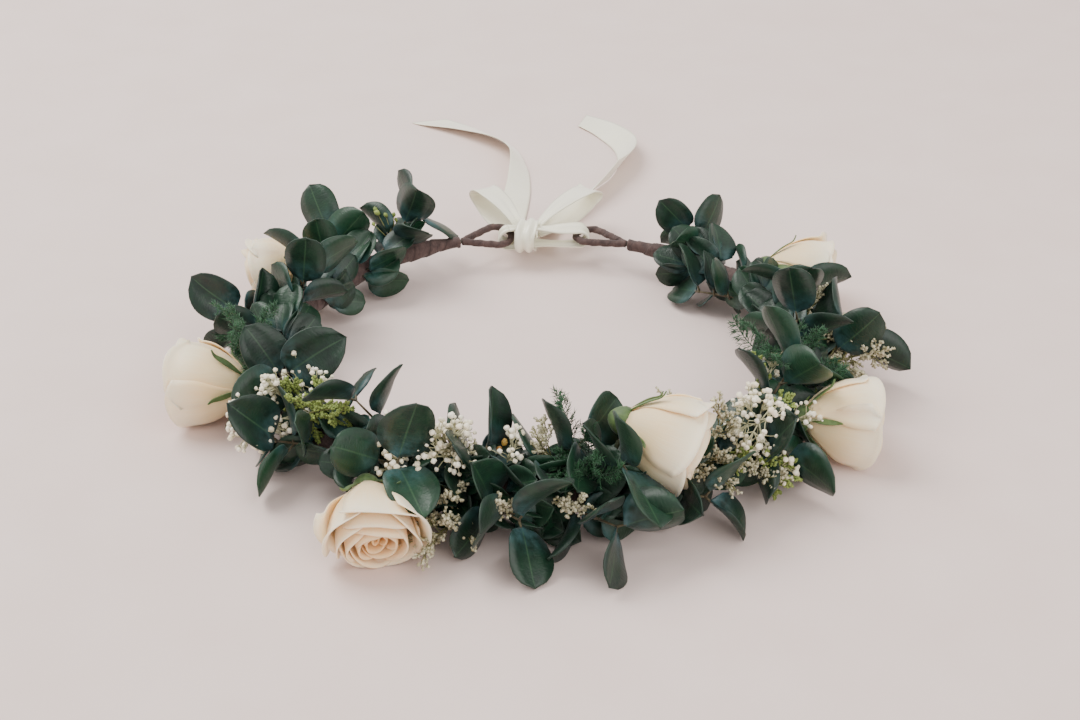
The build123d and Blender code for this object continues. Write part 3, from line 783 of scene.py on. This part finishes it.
def make_rose(name, number):
    openness, size, twist = rose_looks[name]
    draw = np.random.default_rng(300 + number)
    place = head_place(name + "_petals", name + "_calyx")
    turn = math.radians(twist)
    about = np.eye(4)
    about[:2, :2] = [[math.cos(turn), -math.sin(turn)], [math.sin(turn), math.cos(turn)]]
    place[:3, :3] = place[:3, :3] @ about[:3, :3] * size
    copies = [(blank, place, heart, 0) for blank, heart in rose_petals(draw, openness)]
    bloom = lay_out(name + "_bloom", copies, [petal_look])
    give_thickness(bloom, petal_paper)
    bloom.data.shade_smooth()
    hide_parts(name + "_petals")
    sepals = []
    for k in range(5):
        flat = petal_grid[0].copy()
        flat[:, 0] *= 1 - (flat[:, 1] + 0.5) ** 2 * 0.92
        points = petal_shape(flat, 72 * k + draw.uniform(-6, 6), *sepal_sizes, 0.1)
        sepals.append(((points, *petal_grid[1:]), place, draw.uniform(0, 1), 0))
    cup = np.eye(4)
    cup[:3, :3] = np.diag([4.3, 4.3, 4.0]) * mm
    cup[:3, 3] = [0, 0, -1.0 * mm]
    sepals.append((cup_blank, place @ cup, 0.4, 0))
    green = lay_out(name + "_sepals", sepals, [sepal_look])
    give_thickness(green, petal_paper)
    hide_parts(name + "_calyx")
    finish_packed(name + "_wire", wire_look)
    return len(copies)


bpy.ops.mesh.primitive_uv_sphere_add(segments=14, ring_count=8, radius=1)
cup_blank = shaped(bpy.context.object, lambda at: at * (1 + 0.25 * at[:, 2:] * np.array([1, 1, 0])))
print("petals in each rose:", [make_rose(name, k) for k, name in enumerate(rose_looks)])

# %% [markdown]
# ## Gypsophila, fern, statice and seed heads
# The fillers are what makes the crown look picked rather than made. On each packed twig grows a
# small fan: gypsophila forks and ends in round blossoms, asparagus fern carries rows of needles
# on side branches, statice and caspia carry rows of tiny papery calyces, and the seed heads are
# spikes of packed seeds. The same four helpers could dress any dried spray.


# %% Four kinds of spray
def gypsophila_fan(copies, foot, end, draw):
    fork = foot + (end - foot) * 0.45
    twig(copies, foot, fork, 0.3 * mm, 1)
    for _ in range(9):
        way = near_way(end - foot, draw.uniform(5, 62), draw)
        knee = fork + way * draw.uniform(2.0, 4.5) * mm
        bead = knee + unit(way + draw.normal(size=3) * 0.3) * draw.uniform(1.5, 4.0) * mm
        twig(copies, fork, knee, 0.2 * mm, 1)
        twig(copies, knee, bead, 0.16 * mm, 1)
        size = draw.uniform(0.6, 1.15) * mm
        place = placed(bead, way, draw.normal(size=3), size)
        copies.append((bead_blank, place, draw.uniform(0, 1), 0))


def fern_plume(copies, foot, end, draw):
    end = foot + (end - foot) * 1.35
    line = bent_twig(copies, foot, end, 1.6 * mm, 0.28 * mm, 0, draw, parts=6)
    plane = unit(np.cross(end - foot, draw.normal(size=3)))
    for k in range(26):
        share = 0.08 + 0.9 * k / 26
        at = np.array(line[int(share * 6)]) + (end - foot) * (share * 6 % 1) / 6
        side = plane if k % 2 else -plane
        way = unit(unit(end - foot) * 0.8 + side * 0.9 + draw.normal(size=3) * 0.18)
        length = (6.4 - 4.6 * share) * mm
        twig(copies, at, at + way * length, 0.13 * mm, 0)
        for step in range(8):
            base = at + way * length * (0.15 + 0.85 * step / 8)
            lean = near_way(way, 38, draw)
            place = placed(base, lean, draw.normal(size=3), draw.uniform(1.7, 2.7) * mm, 0.075)
            copies.append((needle_blank, place, draw.uniform(0, 1), 0))


def statice_fan(copies, foot, end, draw):
    bent_twig(copies, foot, foot + (end - foot) * 1.1, 0.9 * mm, 0.3 * mm, 1, draw)
    for k in range(8):
        share = 0.2 + 0.8 * k / 8
        at = foot + (end - foot) * share
        way = near_way(end - foot, draw.uniform(25, 48), draw) if k < 7 else unit(end - foot)
        length = draw.uniform(3.2, 5.5) * mm
        twig(copies, at, at + way * length, 0.17 * mm, 1)
        for step in range(6):
            base = at + way * length * (0.2 + 0.8 * step / 6)
            lean = near_way(way, 32, draw)
            place = placed(base, lean, draw.normal(size=3), draw.uniform(1.0, 1.6) * mm)
            copies.append((calyx_blank, place, draw.uniform(0, 1), 0))


def seed_spike(copies, foot, end, draw):
    bent_twig(copies, foot, end, 0.5 * mm, 0.3 * mm, 1, draw)
    for branch in range(4):
        base = foot + (end - foot) * (0.25 + 0.18 * branch)
        way = near_way(end - foot, 8 if branch == 3 else 34, draw)
        length = (5.6 - 0.5 * branch) * mm
        twig(copies, base, base + way * length, 0.25 * mm, 1)
        for k in range(20):
            out = near_way(way, 78, draw)
            at = base + way * length * (0.1 + 0.9 * k / 20) + out * (0.85 - 0.5 * k / 20) * mm
            lean = unit(way + out * 0.7)
            place = placed(at, lean, draw.normal(size=3), draw.uniform(0.42, 0.62) * mm)
            copies.append((seed_blank, place, draw.uniform(0, 1), 0))


# %% Sprays in place
# For each kind: its fan, its finishes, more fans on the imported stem, side stems near it, its slot.
spray_kinds = {
    "gypsophila": (gypsophila_fan, [blossom_look, stalk_look], 5, 4, "gypsophila"),
    "fern": (fern_plume, [fern_look], 2, 3, "fern"),
    "statice": (statice_fan, [statice_look, olive_look], 5, 5, "statice"),
    "seeds": (seed_spike, [seed_look, olive_look], 2, 3, "seed_spikes"),
}


def side_stem(copies, dress, root, draw, slot):
    """One more short stem out of the tape near a spray's root, with three fans on it."""
    out, ahead = round_z(math.atan2(root[1], root[0]) + math.radians(draw.uniform(-13, 13)))
    roll = math.radians(draw.uniform(-5, 130))
    ray = out * math.cos(roll) + UP * math.sin(roll)
    start = out * hoop_radius + UP * hoop_height + ray * 3 * mm
    way = unit(ray + ahead * draw.uniform(-0.9, 0.9) + out * 0.2)
    end = start + way * draw.uniform(11, 16) * mm
    bent_twig(copies, start, end, 0.5 * mm, 0.35 * mm, slot, draw)
    for k in range(3):
        foot = start + (end - start) * (0.55 + 0.2 * k)
        fan = near_way(way, (35, 30, 8)[k], draw)
        dress(copies, foot, foot + fan * draw.uniform(6, 9) * mm, draw)


def make_spray(node, number):
    dress, looks, extra, side_stems, slot = spray_kinds[node.split("_")[0]]
    draw = np.random.default_rng(500 + number)
    root, tip, twigs = sprig_layout(node)
    copies = []
    start = hoop_point(root) * 0.4 + root * 0.6
    bent_twig(copies, start, tip, 0.5 * mm, 0.45 * mm, len(looks) - 1, draw)
    for foot, end, _ in twigs:
        dress(copies, foot, end, draw)
    for k in range(extra):
        foot = root + (tip - root) * (0.3 + 0.75 * k / extra)
        way = near_way(tip - root, draw.uniform(15, 75), draw)
        way[2] = max(way[2], 0.1 - foot[2] / (40 * mm))
        dress(copies, foot, foot + unit(way) * draw.uniform(8, 13) * mm, draw)
    for _ in range(side_stems):
        side_stem(copies, dress, root, draw, len(looks) - 1)
    piece = lay_out(node + "_spray", copies, looks)
    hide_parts(node)
    return len(piece.data.polygons)


sprays = sorted(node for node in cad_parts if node.split("_")[0] in spray_kinds)
print("faces in each spray:", [make_spray(node, k) for k, node in enumerate(sprays)])

# %% [markdown]
# ## Tape on the hoop and round the eyelets
# Floral tape is wound in a spiral over the wire and the stem ends. The result is a tube that is
# thick among the flowers and thin near its ends, with a ridge at every overlap and soft lumps
# where stems lie underneath. A grid rolled up round the hoop's line gives all of that in one
# formula for the radius, and the same roll makes the two wire eyelets.


# %% Rolling a grid into a tube
def roll_up(name, line, radius_at, around, material):
    """A tube along a line of points. radius_at takes shares of a turn and distances along."""
    line = np.asarray(line)
    steps = np.linalg.norm(np.diff(line, axis=0), axis=1)
    far = np.concatenate([[0], np.cumsum(steps)])
    ways = unit_rows(np.gradient(line, axis=0))
    sides = unit_rows(np.cross(UP, ways))
    tops = np.cross(ways, sides)
    tube = add_grid(around, len(line) - 1)
    flat = points_of(tube)
    share, row = flat[:, 0] + 0.5, np.rint((flat[:, 1] + 0.5) * (len(line) - 1)).astype(int)
    radius = radius_at(share, far[row])
    radius[(row == 0) | (row == len(line) - 1)] = 0
    level, rise = np.cos(2 * math.pi * share) * radius, np.sin(2 * math.pi * share) * radius
    put_points(tube, line[row] + sides[row] * level[:, None] + tops[row] * rise[:, None])
    uv = tube.data.uv_layers.active.data
    for corner, point in enumerate(tube.data.loops):
        uv[corner].uv.y = far[row[point.vertex_index]]
    merge_points(tube, 1e-7)
    tube.name = name
    tube.data.materials.append(material)
    tube.data.shade_smooth()
    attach(tube, "crown")
    return tube


def wound(share, far, rise):
    """The little step at each overlap of the spiral."""
    return rise * ((far / tape_turn + share) % 1.0)


# %% Tape over the stems
hoop_wire_ends = 109, 67 + 360  # degrees round the hoop, from the left end to the right end
arm_span, end_span = 30, 9  # degrees of each bare arm, and of its thin end
bunch_radius, arm_radius, end_radius = 4.5 * mm, 3.5 * mm, 2.1 * mm
tape_steps = 760


def blend(value, start, end, low, high):
    """Goes smoothly from low to high while value goes from start to end."""
    share = np.clip((value - start) / (end - start), 0, 1)
    return low + (high - low) * share * share * (3 - 2 * share)


def tape_radius(share, far):
    start, end = hoop_wire_ends
    degrees = np.degrees(far / hoop_radius)
    from_end = np.minimum(degrees, end - start - degrees)
    radius = blend(from_end, 2, end_span + 4, end_radius, arm_radius)
    radius += blend(from_end, arm_span - 6, arm_span + 4, 0, bunch_radius - arm_radius)
    lumps = np.sin(2 * math.pi * (3 * share + 11 * far))
    lumps += np.sin(2 * math.pi * (2 * share - 37 * far) + 1.7)
    lumps += 0.6 * np.sin(2 * math.pi * (5 * share + 83 * far))
    return radius + lumps * 0.13 * mm * (radius / arm_radius) + wound(share, far, 0.42 * mm)


turns = np.radians(np.linspace(*hoop_wire_ends, tape_steps + 1))
hoop_line = [hoop_radius * round_z(turn)[0] + hoop_height * UP for turn in turns]
tape = roll_up("wound_stem_tape", hoop_line, tape_radius, 26, tape_look)
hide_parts("stem_tape")
finish_packed("hoop_wire", wire_look)
print("tape faces:", len(tape.data.polygons))


# %% Eyelets
eyelet_bend, eyelet_apart, eyelet_middle, eyelet_out = 6 * mm, 38.6 * mm, 3 * mm, 0.3 * mm
eyelet_tape = 1.3 * mm


def eyelet_line(side, root_turn, tilt):
    """From the hoop's end along one leg, round the far end and back."""
    centre_x = eyelet_middle + side * eyelet_apart / 2
    centre = np.array([centre_x, hoop_radius + eyelet_out, hoop_height])
    root = hoop_radius * round_z(math.radians(root_turn))[0] + hoop_height * UP
    way = centre - root
    length = np.linalg.norm(way)
    way = way / length
    flat_side = np.cross(UP, way)
    flat_side = flat_side * math.cos(math.radians(tilt)) + UP * math.sin(math.radians(tilt))
    lean = math.asin(eyelet_bend / length)
    leg = length * math.cos(lean)

    def on_leg(share, hand):
        pinch = hand * min(1.0, 0.4 + 2.4 * share)  # the legs close up near the hoop
        return root + (way * math.cos(lean) + flat_side * math.sin(lean) * pinch) * leg * share

    line = [on_leg(share, 1) for share in np.linspace(0, 1, 26)]
    for turn in np.linspace(math.pi / 2 + lean, -math.pi / 2 - lean, 40)[1:-1]:
        line.append(centre + (way * math.cos(turn) + flat_side * math.sin(turn)) * eyelet_bend)
    return line + [on_leg(share, -1) for share in np.linspace(1, 0, 26)]


def eyelet_radius(share, far):
    lumps = 0.06 * mm * np.sin(2 * math.pi * (2 * share + 190 * far))
    return eyelet_tape + wound(share, far * 1.6, 0.28 * mm) + lumps


for name, side, root_turn, tilt in (("eyelet_left", -1, 109, 12), ("eyelet_right", 1, 67, 0)):
    line = eyelet_line(side, root_turn, tilt)
    wrapped = roll_up("taped_" + name, line, eyelet_radius, 12, tape_look)
    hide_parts(name)
    print(name, [round(c, 4) for c in wrapped.bound_box[0]])

# %% [markdown]
# ## Satin ribbon
# The ribbon is 12 mm wide and has been tied: it passes through both eyelets, is knotted into a
# bow, and its two tails run back over the table. Each stretch is one strip: a line of points down
# its middle, the direction of its width at each point, and how far it is gathered there. Pleats
# take up the width that gathering loses, so the cloth keeps its area.

# %% Strips of ribbon
ribbon_cloth = 0.35 * mm


def smooth_line(points, count):
    """A smooth curve through a few points, cut into equal steps."""
    points = np.asarray(points, float)
    padded = np.vstack([2 * points[0] - points[1], points, 2 * points[-1] - points[-2]])
    fine = []
    for k in range(len(points) - 1):
        before, start, end, after = padded[k : k + 4]
        for t in np.linspace(0, 1, 24, endpoint=False):
            slow = 2 * before - 5 * start + 4 * end - after
            fast = 3 * start - before - 3 * end + after
            fine.append(0.5 * (2 * start + (end - before) * t + slow * t**2 + fast * t**3))
    fine = np.vstack([fine, points[-1]])
    far = np.concatenate([[0], np.cumsum(np.linalg.norm(np.diff(fine, axis=0), axis=1))])
    even = np.linspace(0, far[-1], count)
    return np.stack([np.interp(even, far, fine[:, axis]) for axis in range(3)], axis=1)


def smooth_values(values, count):
    return np.interp(np.linspace(0, 1, count), np.linspace(0, 1, len(values)), values)


def length_of(line):
    return float(np.linalg.norm(np.diff(line, axis=0), axis=1).sum())


def strip(name, line, sides, gathers, body, node, slant=0.0):
    """A strip of ribbon: its middle line, the way of its width, and its gathered share."""
    ways = unit_rows(np.gradient(line, axis=0))
    sides = unit_rows(sides - ways * (sides * ways).sum(axis=1)[:, None])
    faces = np.cross(ways, sides)
    length, rows = length_of(line), len(line) - 1
    piece = add_grid(14, rows)
    flat = points_of(piece)
    across, row = flat[:, 0], np.rint((flat[:, 1] + 0.5) * rows).astype(int)
    gather = gathers[row]
    pleat = np.sin(across * 4 * math.pi) * (1 - gather) * ribbon_width * 0.16
    reach = across * ribbon_width * gather
    end_push = slant * across * ribbon_width * np.clip((row / rows - 0.8) / 0.2, 0, 1)
    points = line[row] + ways[row] * end_push[:, None]
    put_points(piece, points + sides[row] * reach[:, None] + faces[row] * pleat[:, None])
    uv = piece.data.uv_layers.active.data
    for corner, point in enumerate(piece.data.loops):
        vertex = point.vertex_index
        uv[corner].uv = (across[vertex] + 0.5) * ribbon_width, row[vertex] / rows * length
    give_thickness(piece, ribbon_cloth)
    piece.name = name
    piece.data.materials.append(satin_look)
    piece.data.shade_smooth()
    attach(piece, body)
    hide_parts(node)
    print(name, "flat", ribbon_width, "x", round(length, 4))


# %% Lashing and knot
lashing_low, lashing_high = box_of("ribbon_lashing")
lashing_mid = (lashing_low + lashing_high) / 2
half_long, half_high = (lashing_high - lashing_low)[[0, 2]] / 2 - ribbon_cloth
straight = half_long - half_high
lashing_steps = 121
# X and Z along the top of the band and round one end. The other half is the same turned over.
half_band = []
for run in np.linspace(0, 2 * straight + math.pi * half_high, lashing_steps // 2 + 1):
    turn = max(run - 2 * straight, 0) / half_high
    end_x = min(run, 2 * straight) - straight
    half_band.append((end_x + half_high * math.sin(turn), half_high * math.cos(turn)))
around_x, around_z = np.vstack([half_band[:-1], -np.array(half_band)]).T
sag = 0.5 * mm * np.sin(np.linspace(0, 6 * math.pi, lashing_steps))
lashing_line = lashing_mid + np.stack([around_x, sag, around_z], axis=1)
tilt = np.sin(np.linspace(0, 4 * math.pi, lashing_steps)) * 0.25
lashing_sides = np.stack([0 * tilt, -np.cos(tilt), np.sin(tilt)], axis=1)
lashing_gathers = smooth_values([0.55, 0.7, 0.5, 0.7, 0.55], lashing_steps)
strip(
    "tied_lashing", lashing_line, lashing_sides, lashing_gathers, "crown",
    "ribbon_lashing",
)

knot_low, knot_high = box_of("bow_knot")
knot_mid, knot_radius = (knot_low + knot_high) / 2, (knot_high - knot_low)[2] / 2
knot_steps = 90
turns = np.linspace(-0.5 * math.pi, 1.9 * math.pi, knot_steps)
spread = knot_radius - 1.2 * mm + 0.5 * mm * np.sin(turns * 2.5) + 0.25 * mm * turns / math.pi
knot_line = [1.0 * mm * np.sin(turns * 1.5), spread * np.cos(turns), spread * np.sin(turns)]
knot_line = knot_mid + np.stack(knot_line, axis=1)
skew = 0.25 * np.sin(turns)
knot_sides = [np.cos(skew), -np.sin(turns) * np.sin(skew), np.cos(turns) * np.sin(skew)]
knot_sides = np.stack(knot_sides, axis=1)
knot_gathers = smooth_values([0.5, 0.62, 0.7, 0.6, 0.5], knot_steps)
strip(
    "tied_knot", knot_line, knot_sides, knot_gathers, "bow",
    "bow_knot",
)


# %% Bow loops
loop_steps = 110


def bow_loop(side, heading, rise, reach, lobe, lean):
    """A loop of ribbon: out along its upper lobe, round its end and back underneath."""
    out, level = round_z(math.radians(heading))
    way = out * math.cos(math.radians(rise)) + UP * math.sin(math.radians(rise))
    up = np.cross(way, level)
    start = knot_mid + way * (knot_radius - 1.5 * mm)
    outline = [
        (0.0, 0.10), (0.22, 0.62), (0.5, 1.0), (0.8, 0.95), (0.97, 0.4), (1.0, -0.15),
        (0.9, -0.7), (0.65, -0.95), (0.35, -0.75), (0.14, -0.35), (0.0, -0.12),
    ]
    points = [
        start + way * reach * out + up * lobe * rise + level * lean * out * rise * mm
        for out, rise in outline
    ]
    line = smooth_line(points, loop_steps)
    roll = smooth_values([0.5, 0.35, 0.2, 0.1, -0.1, -0.3, -0.4, -0.5], loop_steps)
    roll *= 1 if side == "left" else -1
    sides = level * np.cos(roll)[:, None] + up * np.sin(roll)[:, None]
    gathers = smooth_values([0.45, 0.72, 0.95, 1, 1, 1, 0.98, 0.9, 0.7, 0.45], loop_steps)
    strip(
        "tied_loop_" + side, line, sides, gathers, "bow",
        "bow_loop_" + side,
    )


bow_loop("left", 122, 9, 30 * mm, 5.6 * mm, 2.0)
bow_loop("right", 52, 5, 38 * mm, 4.8 * mm, -2.0)


# %% Ribbon tails
tail_steps = 150


def ribbon_tail(side, middle, rolls, slant):
    """A tail over the table. Where it is rolled over, one edge stays on the table."""
    line = smooth_line(np.array(middle) * mm, tail_steps)
    roll = np.radians(smooth_line([(k, r, 0) for k, r in enumerate(rolls)], tail_steps)[:, 1])
    gathers = smooth_values([0.5, 0.8, 1, 1, 1, 1, 1, 1], tail_steps)
    edge_rise = np.abs(np.sin(roll)) * ribbon_width * gathers / 2
    line[:, 2] = np.maximum(line[:, 2], edge_rise + ribbon_cloth)
    ways = np.gradient(line, axis=0)
    level = unit_rows(np.cross(UP, ways))
    face = unit_rows(np.cross(ways, level))
    sides = level * np.cos(roll)[:, None] + face * np.sin(roll)[:, None]
    strip(
        "loose_tail_" + side, line, sides, gathers, "tail_" + side,
        "ribbon_tail_" + side, slant,
    )


tail_low, tail_high = box_of("ribbon_tail_left")
tail_start, tail_top = tail_low[1] / mm, tail_high[2] / mm
flat_down = 0.4  # height of the cloth's middle where it lies flat
# Down the middle of each tail, in millimetres: x and y, and z where it isn't flat on the table.
left_tail = [(-7.6, tail_start, tail_top), (-9.5, tail_start + 9, 4.6), (-10.6, 123, 1.0)]
left_laid = [(-9.5, 145), (-7.8, 166), (-8.6, 190), (-16, 211), (-33, 229), (-52, 243)]
right_tail = [(-0.8, tail_start, tail_top), (2, tail_start + 9, 4.6), (6, 125, 1.0)]
right_laid = [(18, 146), (31, 168), (40, 188), (41, 208), (33, 228), (22, 244)]
left_tail += [(x, y, flat_down) for x, y in left_laid]
right_tail += [(x, y, flat_down) for x, y in right_laid]
# The second list is each tail's roll in degrees, from the knot to its end.
ribbon_tail("left", left_tail, [0, 10, 12, 6, 30, 52, 34, 8, 0], 0.9)
ribbon_tail("right", right_tail, [0, -8, -6, -10, -26, -58, -62, -24, 0], -0.8)

# %% [markdown]
# ## Buds and berries
# A few waxy buds in yellow and pink show at the front between the leaves, and a small sprig of
# berries stands up by the left arm. They are only a few millimetres long, so each is a sphere
# drawn out to a bud on a thin stalk.


# %% Buds
def bud_cluster(name, degrees, out, up, count, size, look, seed):
    draw = np.random.default_rng(seed)
    ray = round_z(math.radians(degrees))[0]
    base = ray * (hoop_radius + out * 0.3) + UP * (hoop_height + up * 0.3)
    middle = ray * (hoop_radius + out) + UP * (hoop_height + up)
    copies = []
    for _ in range(count):
        end = middle + draw.normal(size=3) * 3.2 * mm
        twig(copies, base, end, 0.22 * mm, 1)
        way = unit(end - base + draw.normal(size=3) * 2 * mm)
        place = placed(end, way, draw.normal(size=3), size * draw.uniform(0.8, 1.2), 0.72)
        copies.append((bead_blank, place, draw.uniform(0, 1), 0))
    return lay_out(name, copies, [look, olive_look])


bud_cluster("wax_flower_buds", 262, -8 * mm, 11 * mm, 7, 1.5 * mm, bud_look, 71)
bud_cluster("berry_sprig", 126, 9 * mm, 14 * mm, 8, 1.2 * mm, seed_look, 72)
print("small buds placed")

# %% [markdown]
# ## Table, light and camera
# The crown lies on a plain pale table top in soft daylight. A large lamp high at the left gives
# the form, a second in front opens the shadows, and the sky colour does the rest. The camera
# looks down at the crown from in front, at thirty degrees.

# %% Stage
bpy.ops.object.select_all(action="DESELECT")
bpy.ops.mesh.primitive_plane_add(size=6, location=(0, 0, -0.0002))
table_top = bpy.context.object
table_top.name = "table_top"
table_look, tree, surface = new_material("pale table", {"Roughness": 0.9})
linen = dried_tone(tree, colour(222, 203, 197), colour(230, 213, 208), 30.0)
tree.links.new(linen.outputs["Color"], surface.inputs["Base Color"])
bump(tree, surface, linen.outputs["Cloud"], 0.05, 0.0005)
table_top.data.materials.append(table_look)


def add_lamp(name, place, size, power, tint):
    """A square lamp that faces the crown."""
    bpy.ops.object.light_add(type="AREA", location=place)
    lamp = bpy.context.object
    lamp.name, lamp.data.size, lamp.data.energy, lamp.data.color = name, size, power, tint
    lamp.rotation_euler = (Vector((0, 0.02, 0)) - Vector(place)).to_track_quat("-Z", "Y").to_euler()


add_lamp("window_light", (-0.9, 0.5, 1.5), 1.2, 40, (1.0, 0.98, 0.95))
add_lamp("front_fill", (0.9, -1.1, 1.1), 1.6, 20, (1.0, 0.97, 0.93))
world = bpy.data.worlds.new("soft room")
bpy.context.scene.world = world
world.use_nodes = True
world.node_tree.nodes["Background"].inputs["Color"].default_value = (1.0, 0.97, 0.95, 1)
world.node_tree.nodes["Background"].inputs["Strength"].default_value = 1.05

camera_aim = Vector((0.0015, 0.0134, 0))
camera_far, camera_rise = 0.737, math.radians(30)
camera_data = bpy.data.cameras.new("camera")
camera_data.lens = 64.7
camera = bpy.data.objects.new("camera", camera_data)
bpy.context.scene.collection.objects.link(camera)
camera_way = Vector((0, -math.cos(camera_rise), math.sin(camera_rise)))
camera.location = camera_aim + camera_far * camera_way
camera.rotation_euler = (camera_aim - camera.location).to_track_quat("-Z", "Y").to_euler()
bpy.context.scene.camera = camera
